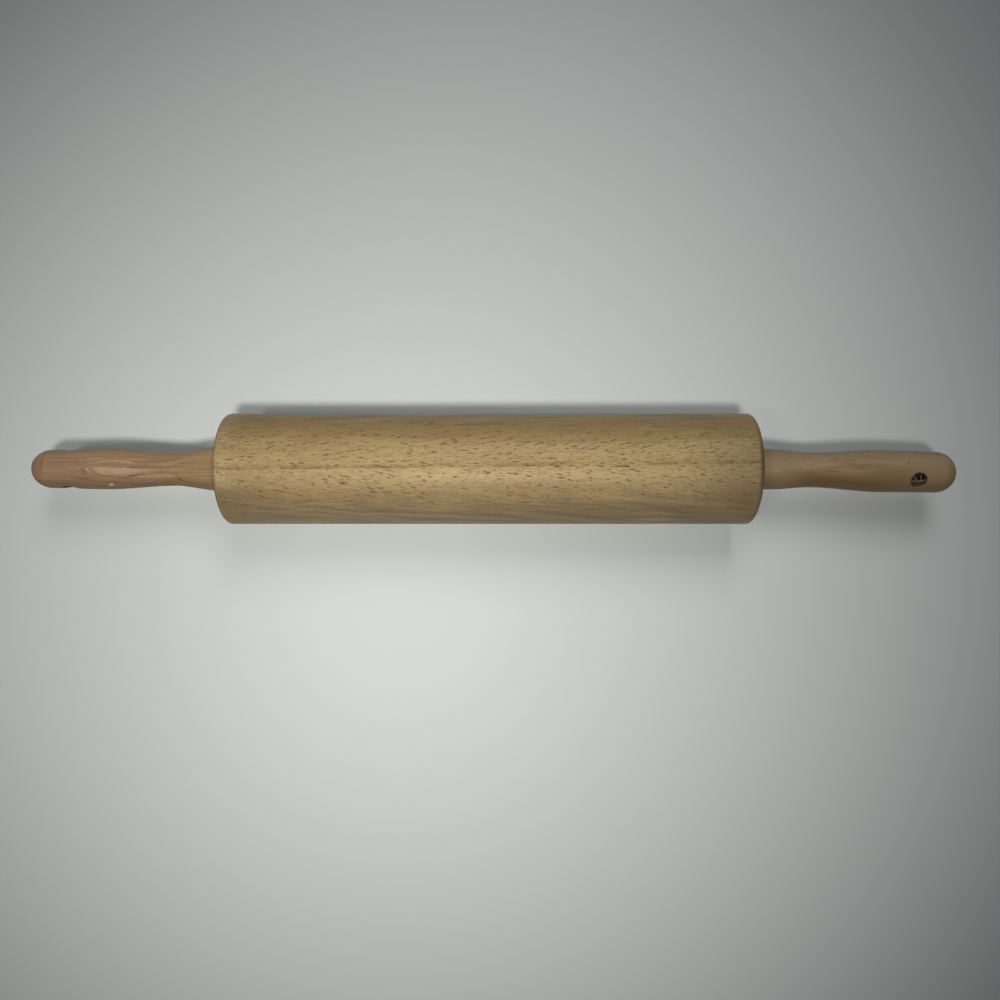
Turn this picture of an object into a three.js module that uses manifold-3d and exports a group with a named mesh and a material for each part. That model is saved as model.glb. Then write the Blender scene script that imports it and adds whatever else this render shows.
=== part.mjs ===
// A wooden rolling pin, built from the pieces that it comes apart into on a bench.
// The turned barrel runs on a steel axle in two flanged bushings that are pressed into its ends.
// A loose washer in a recess at each end keeps the barrel off the turned handles.
// The handles are glued onto the knurled ends of the axle and each has a hole to hang the pin by.
// Millimetres, +Z up. The pin lies along X on a table at z = 0, with x = 0 halfway between the handle tips.

import * as THREE from "three";
import { mergeVertices } from "three/addons/utils/BufferGeometryUtils.js";
import Module from "manifold-3d";

// Barrel
const BARREL_LENGTH = 254;
const BARREL_DIAMETER = 54;
const BARREL_EDGE_RADIUS = 2.5;
const BARREL_BORE_CLEARANCE = 1; // round the axle, between the bushings

// Axle
const AXLE_DIAMETER = 8;
const AXLE_GRIP_LENGTH = 45; // inside each handle
const AXLE_TIP_CHAMFER = 0.8;
const KNURL_LENGTH = 28;
const KNURL_SETBACK = 6; // from the axle's tip
const KNURL_HEIGHT = 0.35;
const KNURL_ROOT_DEPTH = 0.15; // the grooves between the ridges, below the rod's own surface
const KNURL_RIDGES = 18;

// Bushings
const BUSHING_SLEEVE_DIAMETER = 16;
const BUSHING_SLEEVE_LENGTH = 20;
const BUSHING_FLANGE_DIAMETER = 24;
const BUSHING_FLANGE_THICKNESS = 2.4;
const BUSHING_RECESS = 1.5; // how far the flange lies below the barrel's end, to hide the washer
const BUSHING_EDGE_CHAMFER = 0.5;
const BUSHING_LAND_LENGTH = 6; // each of the two bearing lands in the bore
const BUSHING_RELIEF_DEPTH = 0.5; // the grease pocket between the lands
const CRUSH_RIBS = 6;
const CRUSH_RIB_HEIGHT = 0.4;
const CRUSH_RIB_WIDTH = 1.6;

// Washers
const WASHER_DIAMETER = 19;
const WASHER_THICKNESS = 1.2;
const WASHER_EDGE_CHAMFER = 0.2;

// Handles, which were turned one by one and differ a little: distances run from the collar's face to the tip
const HANDLE_LENGTH = 94.3;
const LEFT_COLLAR_DIAMETER = 21.6;
const RIGHT_COLLAR_DIAMETER = 20;
const COLLAR_LENGTH = 4.3;
const COLLAR_EDGE_RADIUS = 0.8;
const LEFT_NECK_DIAMETER = 16.5;
const RIGHT_NECK_DIAMETER = 17.1;
const NECK_POSITION = 26.3;
const LEFT_GRIP_DIAMETER = 20;
const RIGHT_GRIP_DIAMETER = 20.6;
const GRIP_POSITION = 59.3;
const LEFT_DOME_DIAMETER = 18.8;
const RIGHT_DOME_DIAMETER = 20;
const DOME_LENGTH = 8;
const TIP_FLAT_DIAMETER = 11; // where the lathe parted the handle off
const SOCKET_MOUTH_CHAMFER = 0.7;
const DRILL_POINT_ANGLE = 118;

// Hanging holes: one through each handle, tilted about the axle from upright
const HANG_HOLE_DIAMETER = 7.6;
const LEFT_HOLE_BEFORE_TIP = 16.9;
const RIGHT_HOLE_BEFORE_TIP = 19.7;
const HANG_HOLE_COUNTERSINK = 0.3;
const LEFT_HOLE_TILT = 90;
const RIGHT_HOLE_TILT = 30;

// Fits
const RUNNING_CLEARANCE = 0.3; // between pieces that move on each other
const SEAT_CLEARANCE = 0.3; // between pieces that are pressed or glued together
const END_FLOAT = 4.4; // how far the barrel slides from one handle to the other

// Facets round each turned piece
const BARREL_FACETS = 64;
const HANDLE_FACETS = 40;
const SMALL_FACETS = 32;
const HOLE_FACETS = 24;
const EDGE_STEPS = 5;
const SWELL_STEPS = 7; // along each swelling stretch of a handle
const DOME_STEPS = 9;

const barrelRadius = BARREL_DIAMETER / 2;
const axleRadius = AXLE_DIAMETER / 2;
const knurlRadius = axleRadius + KNURL_HEIGHT;
const sleeveRadius = BUSHING_SLEEVE_DIAMETER / 2;
const ribRadius = sleeveRadius + CRUSH_RIB_HEIGHT;
const flangeRadius = BUSHING_FLANGE_DIAMETER / 2;
const runningRadius = axleRadius + RUNNING_CLEARANCE;
const barrelEnd = BARREL_LENGTH / 2;
const flangeFace = barrelEnd - BUSHING_RECESS;
const washerFace = flangeFace + RUNNING_CLEARANCE;
const collarFace = washerFace + WASHER_THICKNESS + RUNNING_CLEARANCE + END_FLOAT / 2;
const axleTip = collarFace + AXLE_GRIP_LENGTH;
const domeStart = HANDLE_LENGTH - DOME_LENGTH;
const WELD_DISTANCE = 1e-4;

const wasm = await Module();
wasm.setup();

// A closed geometry as a solid, with its shared vertices merged.
function toSolid(geometry) {
  const bare = geometry.clone();
  bare.deleteAttribute("normal");
  bare.deleteAttribute("uv");
  const welded = mergeVertices(bare, WELD_DISTANCE);
  const vertProperties = welded.attributes.position.array;
  const triVerts = new Uint32Array(welded.index.array);
  return new wasm.Manifold(new wasm.Mesh({ numProp: 3, vertProperties, triVerts }));
}

// A solid as a geometry.
function toGeometry(solid) {
  const mesh = solid.getMesh();
  const geometry = new THREE.BufferGeometry();
  geometry.setAttribute("position", new THREE.BufferAttribute(mesh.vertProperties, mesh.numProp));
  geometry.setIndex(new THREE.BufferAttribute(mesh.triVerts, 1));
  geometry.computeVertexNormals();
  return geometry;
}

// A profile of radius and distance along X, turned about the X axis.
// Each facet lies against the true round surface, and one of them faces straight down.
function turned(profile, facets) {
  const toFlats = 1 / Math.cos(Math.PI / facets);
  const points = profile.map((p) => new THREE.Vector2(p.x * toFlats, p.y));
  return new THREE.LatheGeometry(points, facets, Math.PI / facets).rotateZ(-Math.PI / 2);
}

// A ring's profile is drawn once round and closes on itself.
function closed(points) {
  return [...points, points[0].clone()];
}

function point(radius, along) {
  return new THREE.Vector2(radius, along);
}

// A quarter turn of an ellipse about a centre, as points.
function quarter(centre, radius, length, startAngle, steps) {
  const endAngle = startAngle + Math.PI / 2;
  return new THREE.EllipseCurve(centre.x, centre.y, radius, length, startAngle, endAngle).getPoints(steps);
}

// An S-shaped stretch from one radius to another, level at both ends, as points without the first.
function swell(from, to, steps) {
  const third = (to.y - from.y) / 3;
  const leave = point(from.x, from.y + third);
  const arrive = point(to.x, to.y - third);
  return new THREE.CubicBezierCurve(from, leave, arrive, to).getPoints(steps).slice(1);
}

// A straight prism along X from x = start, with its section in the YZ plane.
function prismAlongX(shape, start, length) {
  const options = { depth: length, bevelEnabled: false };
  return new THREE.ExtrudeGeometry(shape, options).rotateY(Math.PI / 2).translate(start, 0, 0);
}

// The barrel: a cylinder with rounded edges, bored for the axle and stepped at both ends for the bushings.
function barrelGeometry() {
  const bore = axleRadius + BARREL_BORE_CLEARANCE;
  const sleeveSeat = ribRadius + SEAT_CLEARANCE;
  const flangeSeat = flangeRadius + SEAT_CLEARANCE;
  const flangeSeatEnd = flangeFace - BUSHING_FLANGE_THICKNESS - SEAT_CLEARANCE;
  const sleeveSeatEnd = flangeFace - BUSHING_FLANGE_THICKNESS - BUSHING_SLEEVE_LENGTH - SEAT_CLEARANCE;
  const edge = BARREL_EDGE_RADIUS;
  const edgeCentre = point(barrelRadius - edge, barrelEnd - edge);
  const rightHalf = [
    ...quarter(edgeCentre, edge, edge, 0, EDGE_STEPS),
    point(flangeSeat, barrelEnd),
    point(flangeSeat, flangeSeatEnd),
    point(sleeveSeat, flangeSeatEnd),
    point(sleeveSeat, sleeveSeatEnd),
    point(bore, sleeveSeatEnd),
  ];
  const leftHalf = rightHalf.map((p) => point(p.x, -p.y)).reverse();
  return turned(closed([...leftHalf, ...rightHalf]), BARREL_FACETS);
}

// One knurled stretch of the axle: a star-shaped prism whose ridges bite into the handle.
function knurlSolid(start) {
  const star = new THREE.Shape();
  const corners = 2 * KNURL_RIDGES;
  for (let i = 0; i < corners; i += 1) {
    const radius = i % 2 ? axleRadius - KNURL_ROOT_DEPTH : knurlRadius;
    const angle = (i / corners) * 2 * Math.PI;
    const corner = [radius * Math.cos(angle), radius * Math.sin(angle)];
    if (i) star.lineTo(...corner);
    else star.moveTo(...corner);
  }
  return toSolid(prismAlongX(star, start, KNURL_LENGTH));
}

// The axle: a round rod with chamfered tips and a knurl in each handle's socket.
function axleGeometry() {
  const rod = turned(
    [
      point(0, -axleTip),
      point(axleRadius - AXLE_TIP_CHAMFER, -axleTip),
      point(axleRadius, AXLE_TIP_CHAMFER - axleTip),
      point(axleRadius, axleTip - AXLE_TIP_CHAMFER),
      point(axleRadius - AXLE_TIP_CHAMFER, axleTip),
      point(0, axleTip),
    ],
    SMALL_FACETS,
  );
  const knurlEnd = axleTip - KNURL_SETBACK;
  return toGeometry(toSolid(rod).add(knurlSolid(knurlEnd - KNURL_LENGTH)).add(knurlSolid(-knurlEnd)));
}

// A bushing, with its flange's outer face at x = 0 and its sleeve towards -X.
// The bore has two bearing lands with a grease pocket between, and ribs on the sleeve grip the wood.
function bushingGeometry() {
  const sleeveEnd = -BUSHING_FLANGE_THICKNESS - BUSHING_SLEEVE_LENGTH;
  const chamfer = BUSHING_EDGE_CHAMFER;
  const pocket = runningRadius + BUSHING_RELIEF_DEPTH;
  const body = turned(
    closed([
      point(runningRadius, sleeveEnd + chamfer),
      point(runningRadius + chamfer, sleeveEnd),
      point(sleeveRadius - chamfer, sleeveEnd),
      point(sleeveRadius, sleeveEnd + chamfer),
      point(sleeveRadius, -BUSHING_FLANGE_THICKNESS),
      point(flangeRadius, -BUSHING_FLANGE_THICKNESS),
      point(flangeRadius, -chamfer),
      point(flangeRadius - chamfer, 0),
      point(runningRadius + chamfer, 0),
      point(runningRadius, -chamfer),
      point(runningRadius, -chamfer - BUSHING_LAND_LENGTH),
      point(pocket, -chamfer - BUSHING_LAND_LENGTH - BUSHING_RELIEF_DEPTH),
      point(pocket, sleeveEnd + chamfer + BUSHING_LAND_LENGTH + BUSHING_RELIEF_DEPTH),
      point(runningRadius, sleeveEnd + chamfer + BUSHING_LAND_LENGTH),
    ]),
    SMALL_FACETS,
  );
  let bushing = toSolid(body);
  for (let i = 0; i < CRUSH_RIBS; i += 1) {
    bushing = bushing.add(crushRibSolid((i / CRUSH_RIBS) * 2 * Math.PI));
  }
  return toGeometry(bushing);
}

// One rib along the sleeve, rooted in its wall, short of the sleeve's chamfer and running under the flange.
function crushRibSolid(angle) {
  const root = sleeveRadius - CRUSH_RIB_HEIGHT;
  const half = CRUSH_RIB_WIDTH / 2;
  const section = new THREE.Shape();
  section.moveTo(-half, root);
  section.lineTo(half, root);
  section.lineTo(0, ribRadius);
  section.closePath();
  const length = BUSHING_SLEEVE_LENGTH - 2 * BUSHING_EDGE_CHAMFER + BUSHING_FLANGE_THICKNESS / 2;
  const rib = prismAlongX(section, -BUSHING_FLANGE_THICKNESS / 2 - length, length);
  return toSolid(rib.rotateX(angle));
}

// A washer, with its inner face at x = 0 and its thickness towards +X.
function washerGeometry() {
  const radius = WASHER_DIAMETER / 2;
  const chamfer = WASHER_EDGE_CHAMFER;
  return turned(
    closed([
      point(runningRadius, 0),
      point(radius - chamfer, 0),
      point(radius, chamfer),
      point(radius, WASHER_THICKNESS - chamfer),
      point(radius - chamfer, WASHER_THICKNESS),
      point(runningRadius, WASHER_THICKNESS),
    ]),
    SMALL_FACETS,
  );
}

// The dome: an ellipse that ends at the flat on the handle's tip, as points without the first.
function domePoints(domeRadius) {
  const endAngle = Math.acos(TIP_FLAT_DIAMETER / 2 / domeRadius);
  const reach = DOME_LENGTH / Math.sin(endAngle);
  return new THREE.EllipseCurve(0, domeStart, domeRadius, reach, 0, endAngle).getPoints(DOME_STEPS).slice(1);
}

// The handle's turned profile, from the end of its socket out over the collar, neck and grip to the tip.
function handleProfile(handle) {
  const socket = knurlRadius + SEAT_CLEARANCE;
  const socketEnd = AXLE_GRIP_LENGTH + SEAT_CLEARANCE;
  const drillPoint = socket / Math.tan(THREE.MathUtils.degToRad(DRILL_POINT_ANGLE / 2));
  const edge = COLLAR_EDGE_RADIUS;
  const collar = point(handle.collar / 2, COLLAR_LENGTH);
  const neck = point(handle.neck / 2, NECK_POSITION);
  const grip = point(handle.grip / 2, GRIP_POSITION);
  const dome = point(handle.dome / 2, domeStart);
  return [
    point(0, socketEnd + drillPoint),
    point(socket, socketEnd),
    point(socket, SOCKET_MOUTH_CHAMFER),
    point(socket + SOCKET_MOUTH_CHAMFER, 0),
    ...quarter(point(collar.x - edge, edge), edge, edge, -Math.PI / 2, EDGE_STEPS),
    collar,
    ...swell(collar, neck, SWELL_STEPS),
    ...swell(neck, grip, SWELL_STEPS),
    ...swell(grip, dome, SWELL_STEPS),
    ...domePoints(dome.x),
    point(0, HANDLE_LENGTH),
  ];
}

// What the drill and the countersinks take out of a handle for its hanging hole, upright through it.
function hangHoleSolid(handle) {
  const holePosition = HANDLE_LENGTH - handle.holeBeforeTip;
  const radius = HANG_HOLE_DIAMETER / 2;
  const sink = HANG_HOLE_COUNTERSINK;
  const narrowing = THREE.MathUtils.smoothstep(holePosition, GRIP_POSITION, domeStart);
  const mouth = THREE.MathUtils.lerp(handle.grip / 2, handle.dome / 2, narrowing);
  const drill = [
    point(0, -mouth - sink),
    point(radius + 2 * sink, -mouth - sink),
    point(radius, sink - mouth),
    point(radius, mouth - sink),
    point(radius + 2 * sink, mouth + sink),
    point(0, mouth + sink),
  ];
  return toSolid(turned(drill, HOLE_FACETS).rotateY(-Math.PI / 2).translate(holePosition, 0, 0));
}

// A handle, with its collar's face at x = 0 and its tip towards +X.
function handleGeometry(handle) {
  const blank = turned(handleProfile(handle), HANDLE_FACETS);
  return toGeometry(toSolid(blank).subtract(hangHoleSolid(handle)));
}

function wood(color, roughness) {
  return new THREE.MeshStandardMaterial({ color, roughness, metalness: 0 });
}

const barrelWood = wood(0xac986e, 0.62);
const leftHandleWood = wood(0xa38662, 0.58);
const rightHandleWood = wood(0xa8946e, 0.58);
const zincSteel = new THREE.MeshStandardMaterial({ color: 0xb4b6b8, roughness: 0.35, metalness: 1 });
const nylon = new THREE.MeshStandardMaterial({ color: 0xe4ddcb, roughness: 0.5, metalness: 0 });

const leftHandle = {
  name: "left_handle",
  turn: Math.PI,
  collar: LEFT_COLLAR_DIAMETER,
  neck: LEFT_NECK_DIAMETER,
  grip: LEFT_GRIP_DIAMETER,
  dome: LEFT_DOME_DIAMETER,
  holeBeforeTip: LEFT_HOLE_BEFORE_TIP,
  holeTilt: LEFT_HOLE_TILT,
  material: leftHandleWood,
};
const rightHandle = {
  name: "right_handle",
  turn: 0,
  collar: RIGHT_COLLAR_DIAMETER,
  neck: RIGHT_NECK_DIAMETER,
  grip: RIGHT_GRIP_DIAMETER,
  dome: RIGHT_DOME_DIAMETER,
  holeBeforeTip: RIGHT_HOLE_BEFORE_TIP,
  holeTilt: RIGHT_HOLE_TILT,
  material: rightHandleWood,
};

function piece(name, geometry, material) {
  const mesh = new THREE.Mesh(geometry, material);
  mesh.name = name;
  return mesh;
}

// What turns and slides together on the axle. It rests against the left handle's washer.
function rollingPieces() {
  const group = new THREE.Group();
  group.position.x = -END_FLOAT / 2;
  group.add(piece("barrel", barrelGeometry(), barrelWood));
  for (const [side, turn] of [["left", Math.PI], ["right", 0]]) {
    const end = new THREE.Group();
    end.rotation.z = turn;
    const bushing = piece(`${side}_bushing`, bushingGeometry(), nylon);
    bushing.position.x = flangeFace;
    const washer = piece(`${side}_washer`, washerGeometry(), zincSteel);
    washer.position.x = washerFace;
    end.add(bushing, washer);
    group.add(end);
  }
  return group;
}

// What a cook holds: the axle and the handle glued onto each end of it.
function heldPieces() {
  const group = new THREE.Group();
  group.add(piece("axle_rod", axleGeometry(), zincSteel));
  for (const handle of [leftHandle, rightHandle]) {
    const turn = handle.turn;
    const tilt = THREE.MathUtils.degToRad(handle.holeTilt);
    const mesh = piece(handle.name, handleGeometry(handle), handle.material);
    mesh.position.x = collarFace;
    mesh.rotation.x = turn ? -tilt : tilt;
    const end = new THREE.Group();
    end.rotation.z = turn;
    end.add(mesh);
    group.add(end);
  }
  return group;
}

const rollingPin = new THREE.Group();
rollingPin.position.z = barrelRadius;
rollingPin.add(rollingPieces(), heldPieces());

export default rollingPin;
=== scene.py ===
"""The looks of a wooden rolling pin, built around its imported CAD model.

Lengths are metres unless a name or a comment says millimetres.
"""

import math
from collections import namedtuple

import bmesh
import bpy
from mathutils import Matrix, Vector, noise


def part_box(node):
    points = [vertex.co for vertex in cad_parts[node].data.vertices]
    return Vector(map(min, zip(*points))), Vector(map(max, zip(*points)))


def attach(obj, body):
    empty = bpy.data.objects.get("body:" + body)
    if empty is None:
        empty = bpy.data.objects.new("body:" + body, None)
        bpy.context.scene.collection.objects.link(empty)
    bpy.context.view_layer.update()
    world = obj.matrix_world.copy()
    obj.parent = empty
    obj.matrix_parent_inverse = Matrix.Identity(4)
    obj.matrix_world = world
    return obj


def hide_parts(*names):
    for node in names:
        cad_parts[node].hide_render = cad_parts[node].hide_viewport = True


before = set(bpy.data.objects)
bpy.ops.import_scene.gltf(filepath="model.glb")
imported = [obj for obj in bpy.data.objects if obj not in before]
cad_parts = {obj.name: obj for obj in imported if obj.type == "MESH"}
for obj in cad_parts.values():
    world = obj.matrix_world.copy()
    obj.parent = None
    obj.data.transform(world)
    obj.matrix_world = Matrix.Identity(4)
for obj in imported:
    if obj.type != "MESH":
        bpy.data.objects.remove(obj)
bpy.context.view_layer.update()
MM = 0.001

# Places that the CAD model gives
barrel_low, barrel_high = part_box("barrel")
_, bushing_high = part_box("right_bushing")
washer_low, washer_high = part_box("right_washer")
handle_low, handle_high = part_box("right_handle")
_, rod_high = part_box("axle_rod")
AXLE_Z = (barrel_low[2] + barrel_high[2]) / 2
BARREL_RADIUS = (barrel_high[2] - barrel_low[2]) / 2
BARREL_MIDDLE = (barrel_low[0] + barrel_high[0]) / 2
BARREL_END = (barrel_high[0] - barrel_low[0]) / 2
FLANGE_FACE = bushing_high[0] - BARREL_MIDDLE
WASHER_FACE = washer_low[0] - BARREL_MIDDLE
WASHER_THICKNESS = washer_high[0] - washer_low[0]
COLLAR_FACE = handle_low[0]
HANDLE_LENGTH = handle_high[0] - handle_low[0]
ROD_TIP = rod_high[0]

# Sizes that repeat the CAD model's
BARREL_BORE = 5 * MM
SLEEVE_SEAT = 8.7 * MM
FLANGE_SEAT = 12.3 * MM
SLEEVE_RADIUS = 8 * MM
SLEEVE_LENGTH = 20 * MM
FLANGE_RADIUS = 12 * MM
FLANGE_THICKNESS = 2.4 * MM
BUSHING_CHAMFER = 0.5 * MM
BUSHING_LAND = 6 * MM
BUSHING_POCKET = 0.5 * MM
CRUSH_RIBS = 6
CRUSH_RIB_HEIGHT = 0.4 * MM
CRUSH_RIB_WIDTH = 0.8 * MM
RUNNING_BORE = 4.3 * MM
ROD_RADIUS = 4 * MM
ROD_CHAMFER = 0.8 * MM
KNURL_LENGTH = 28 * MM
KNURL_SETBACK = 6 * MM
KNURL_HEIGHT = 0.35 * MM
KNURL_ROOT = 0.15 * MM
KNURL_RIDGES = 18
WASHER_RADIUS = 9.5 * MM
WASHER_CHAMFER = 0.2 * MM
SEAT_CLEARANCE = 0.3 * MM
COLLAR_LENGTH = 4.3 * MM
COLLAR_EDGE = 0.8 * MM
NECK_AT = 26.3 * MM
GRIP_AT = 59.3 * MM
DOME_LENGTH = 8 * MM
DOME_AT = HANDLE_LENGTH - DOME_LENGTH
TIP_FLAT_RADIUS = 5.5 * MM
SOCKET_RADIUS = 4.65 * MM
SOCKET_DEPTH = 45.3 * MM
SOCKET_CHAMFER = 0.7 * MM
DRILL_POINT = 2.8 * MM
HOLE_RADIUS = 3.8 * MM

# Sizes of the scene alone: sanded edges, and the shallow waves that sanding leaves on the barrel
BARREL_EDGE = 1.9 * MM
HOLE_RIM = 0.45 * MM
SANDING_WAVE = 50 * MM
SANDING_DEPTH = 0.04 * MM

# What tells the two handles apart: radii along them, the hanging hole and how far the tip leans,
# because the right one's socket is bored crooked.
Handle = namedtuple("Handle", "side outward collar neck grip dome hole_at hole_tilt lean")
LEFT_HANDLE = Handle(
    side="left", outward=-1, collar=10.8 * MM, neck=8.25 * MM, grip=10 * MM, dome=9.4 * MM,
    hole_at=HANDLE_LENGTH - 16.9 * MM, hole_tilt=90, lean=0.0)
RIGHT_HANDLE = Handle(
    side="right", outward=1, collar=10 * MM, neck=8.55 * MM, grip=10.3 * MM, dome=10 * MM,
    hole_at=HANDLE_LENGTH - 19.7 * MM, hole_tilt=30, lean=-1.75 * MM)

# The photograph's camera: almost straight down, over the pin's middle and a little below it in the picture
CAMERA_PLACE = (3.03 * MM, -36.36 * MM, AXLE_Z + 402.6 * MM)
CAMERA_PITCH = 3.0
CAMERA_SENSOR_MM = 36
CAMERA_LENS_MM = 29.64
CAMERA_NEAREST = 10 * MM

FLOOR_SIZE = 6.0

# Edges between faces that meet at a larger angle than this, in degrees, are shaded sharp
WOOD_SHARP = 40
HARDWARE_SHARP = 30

# Single marks in the wood: place, half length and half width in millimetres, slant in degrees, and
# how strongly they show, from 0 to 1
Mark = namedtuple("Mark", "x y length width slant depth")
BARREL_MARKS = [
    Mark(-29.1, 20.1, 1.4, 0.45, 3, 0.95), Mark(-17.6, 9.8, 1.7, 0.5, 12, 0.75),
    Mark(-14.2, 19.2, 6.0, 0.3, 4, 0.5), Mark(58.4, -1.1, 5.5, 0.5, 1, 0.75),
    Mark(69.2, 7.5, 2.8, 0.5, 20, 0.6), Mark(47.4, 11.4, 3.4, 0.5, 16, 0.45),
    Mark(-69.3, -9.2, 1.8, 0.45, -2, 0.85), Mark(-107.7, -12.4, 1.5, 0.45, -5, 0.8),
    Mark(-29.3, -17.3, 3.2, 0.35, -7, 0.7), Mark(14.2, -11.0, 5.0, 0.35, 0, 0.55),
    Mark(14.3, -17.3, 5.0, 0.35, -2, 0.6), Mark(26.2, 21.3, 12.0, 0.35, 3, 0.5),
]


def srgb(red, green, blue):
    """An 8-bit display colour as the linear RGBA that shaders take."""
    def linear(value):
        value /= 255
        return value / 12.92 if value <= 0.04045 else ((value + 0.055) / 1.055) ** 2.4
    return (linear(red), linear(green), linear(blue), 1.0)


# Camera, light and floor

def make_camera():
    """The camera that took the photograph."""
    data = bpy.data.cameras.new("photo_camera")
    data.sensor_width = CAMERA_SENSOR_MM
    data.lens = CAMERA_LENS_MM
    data.clip_start = CAMERA_NEAREST
    camera = bpy.data.objects.new("photo_camera", data)
    camera.location = CAMERA_PLACE
    camera.rotation_euler = (math.radians(CAMERA_PITCH), 0, 0)
    bpy.context.collection.objects.link(camera)
    bpy.context.scene.camera = camera


def make_area_light(name, place, target, size, power, spread, colour):
    """A rectangular lamp at a place, shining at a target in a cone of spread degrees."""
    data = bpy.data.lights.new(name, "AREA")
    data.shape = "RECTANGLE"
    data.size, data.size_y = size
    data.energy = power
    data.spread = math.radians(spread)
    data.color = colour
    lamp = bpy.data.objects.new(name, data)
    lamp.location = place
    direction = Vector(target) - Vector(place)
    lamp.rotation_euler = direction.to_track_quat("-Z", "Y").to_euler()
    bpy.context.collection.objects.link(lamp)


def make_lights():
    """Two ceiling lamps on the near side, a larger and softer one on the far side, and a dim pale room."""
    warm, cool = (1.0, 0.985, 0.95), (0.97, 0.99, 1.0)
    make_area_light(
        "near_lamp", place=(0.013, -0.28, 0.98), target=(-0.05, -0.067, 0), size=(0.1, 0.1),
        power=0.39, spread=43.7, colour=warm,
    )
    make_area_light(
        "left_lamp", place=(-0.38, -0.2, 0.95), target=(-0.2, 0, 0), size=(0.1, 0.1),
        power=0.098, spread=50, colour=warm,
    )
    make_area_light(
        "far_lamp", place=(0.09, 0.5, 0.77), target=(0.033, 0, 0), size=(0.3, 0.45),
        power=0.382, spread=67.6, colour=cool,
    )
    world = bpy.data.worlds.new("room")
    world.use_nodes = True
    background = world.node_tree.nodes["Background"]
    background.inputs["Color"].default_value = (0.92, 0.97, 1.0, 1.0)
    background.inputs["Strength"].default_value = 0.052
    bpy.context.scene.world = world


def make_floor():
    """The pale table top under the pin."""
    bpy.ops.mesh.primitive_plane_add(size=FLOOR_SIZE)
    floor = bpy.context.object
    floor.name = "floor"
    shader = Shader("floor_paper")
    shader.bsdf.inputs["Base Color"].default_value = srgb(212, 216, 214)
    shader.bsdf.inputs["Roughness"].default_value = 0.8
    shader.bsdf.inputs["Specular IOR Level"].default_value = 0.2
    floor.data.materials.append(shader.material)


# Shader nodes

class Shader:
    """A material's node tree, with short calls for the nodes used here. Vectors are in millimetres."""

    def __init__(self, name):
        self.material = bpy.data.materials.new(name)
        self.material.use_nodes = True
        self.tree = self.material.node_tree
        self.bsdf = self.tree.nodes["Principled BSDF"]

    def add(self, kind, inputs=None, **settings):
        """A new node with these settings, and a link or a constant on each of these inputs."""
        node = self.tree.nodes.new("ShaderNode" + kind)
        for key, value in settings.items():
            setattr(node, key, value)
        for key, value in (inputs or {}).items():
            if isinstance(value, bpy.types.NodeSocket):
                self.tree.links.new(value, node.inputs[key])
            else:
                node.inputs[key].default_value = value
        return node

    def vector(self, operation, one, two):
        """Two vectors made into one."""
        return self.add("VectorMath", {0: one, 1: two}, operation=operation).outputs["Vector"]

    def measure(self, operation, *vectors):
        """Vectors made into a number."""
        return self.add("VectorMath", dict(enumerate(vectors)), operation=operation).outputs["Value"]

    def math(self, operation, *values):
        """Numbers made into a number."""
        return self.add("Math", dict(enumerate(values)), operation=operation).outputs[0]

    def place(self):
        """The point's place at rest, measured from the axle's middle."""
        here = self.add("TexCoord").outputs["Object"]
        shifted = self.vector("SUBTRACT", here, (0, 0, AXLE_Z))
        return self.vector("DIVIDE", shifted, (MM, MM, MM))

    def turn(self, vector, axis, degrees):
        """The vector turned about an axis through the origin."""
        inputs = {"Vector": vector, "Axis": axis, "Angle": math.radians(degrees)}
        return self.add("VectorRotate", inputs, rotation_type="AXIS_ANGLE").outputs[0]

    def split(self, vector):
        return self.add("SeparateXYZ", {0: vector}).outputs

    def combine(self, x, y, z):
        return self.add("CombineXYZ", {0: x, 1: y, 2: z}).outputs[0]

    def noise(self, vector, size, detail=2.0, roughness=0.5):
        """Cloudy noise from about 0.25 to 0.75, with clouds of that size each way."""
        inputs = {"Vector": self.vector("DIVIDE", vector, size), "Scale": 1.0}
        inputs.update({"Detail": detail, "Roughness": roughness})
        return self.add("TexNoise", inputs).outputs[0]

    def remap(self, value, low, high, to_low=0.0, to_high=1.0):
        """A smooth step from to_low at low to to_high at high."""
        inputs = {"Value": value, "From Min": low, "From Max": high, "To Min": to_low, "To Max": to_high}
        return self.add("MapRange", inputs, interpolation_type="SMOOTHSTEP").outputs[0]

    def product(self, *values):
        """All the values multiplied."""
        result = values[0]
        for value in values[1:]:
            result = self.math("MULTIPLY", result, value)
        return result

    def mix(self, factor, one, two):
        """Colour one where the factor is 0 and colour two where it is 1. The colour sockets go by number."""
        return self.add("Mix", {"Factor": factor, 6: one, 7: two}, data_type="RGBA").outputs[2]

    def ramp(self, value, stops):
        """A colour read off stops of (position, colour)."""
        node = self.add("ValToRGB", {"Fac": value})
        elements = node.color_ramp.elements
        while len(elements) < len(stops):
            elements.new(0.5)
        for element, (position, colour) in zip(elements, stops):
            element.position = position
            element.color = colour
        return node.outputs["Color"]

    def surface(self, colour, roughness, height, depth_mm):
        """The finished material, with its surface raised by a height of 0 to 1 times a depth."""
        bump = self.add("Bump", {"Height": height, "Distance": depth_mm * MM})
        self.tree.links.new(bump.outputs[0], self.bsdf.inputs["Normal"])
        self.tree.links.new(colour, self.bsdf.inputs["Base Color"])
        self.tree.links.new(roughness, self.bsdf.inputs["Roughness"])
        return self.material


# Materials

def end_grain(shader, power=3.0):
    """How squarely the surface cuts across the grain, from 0 along a side to 1 on an end face."""
    normal = shader.split(shader.add("NewGeometry").outputs["Normal"])
    return shader.math("POWER", shader.math("ABSOLUTE", normal[0]), power)


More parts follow.
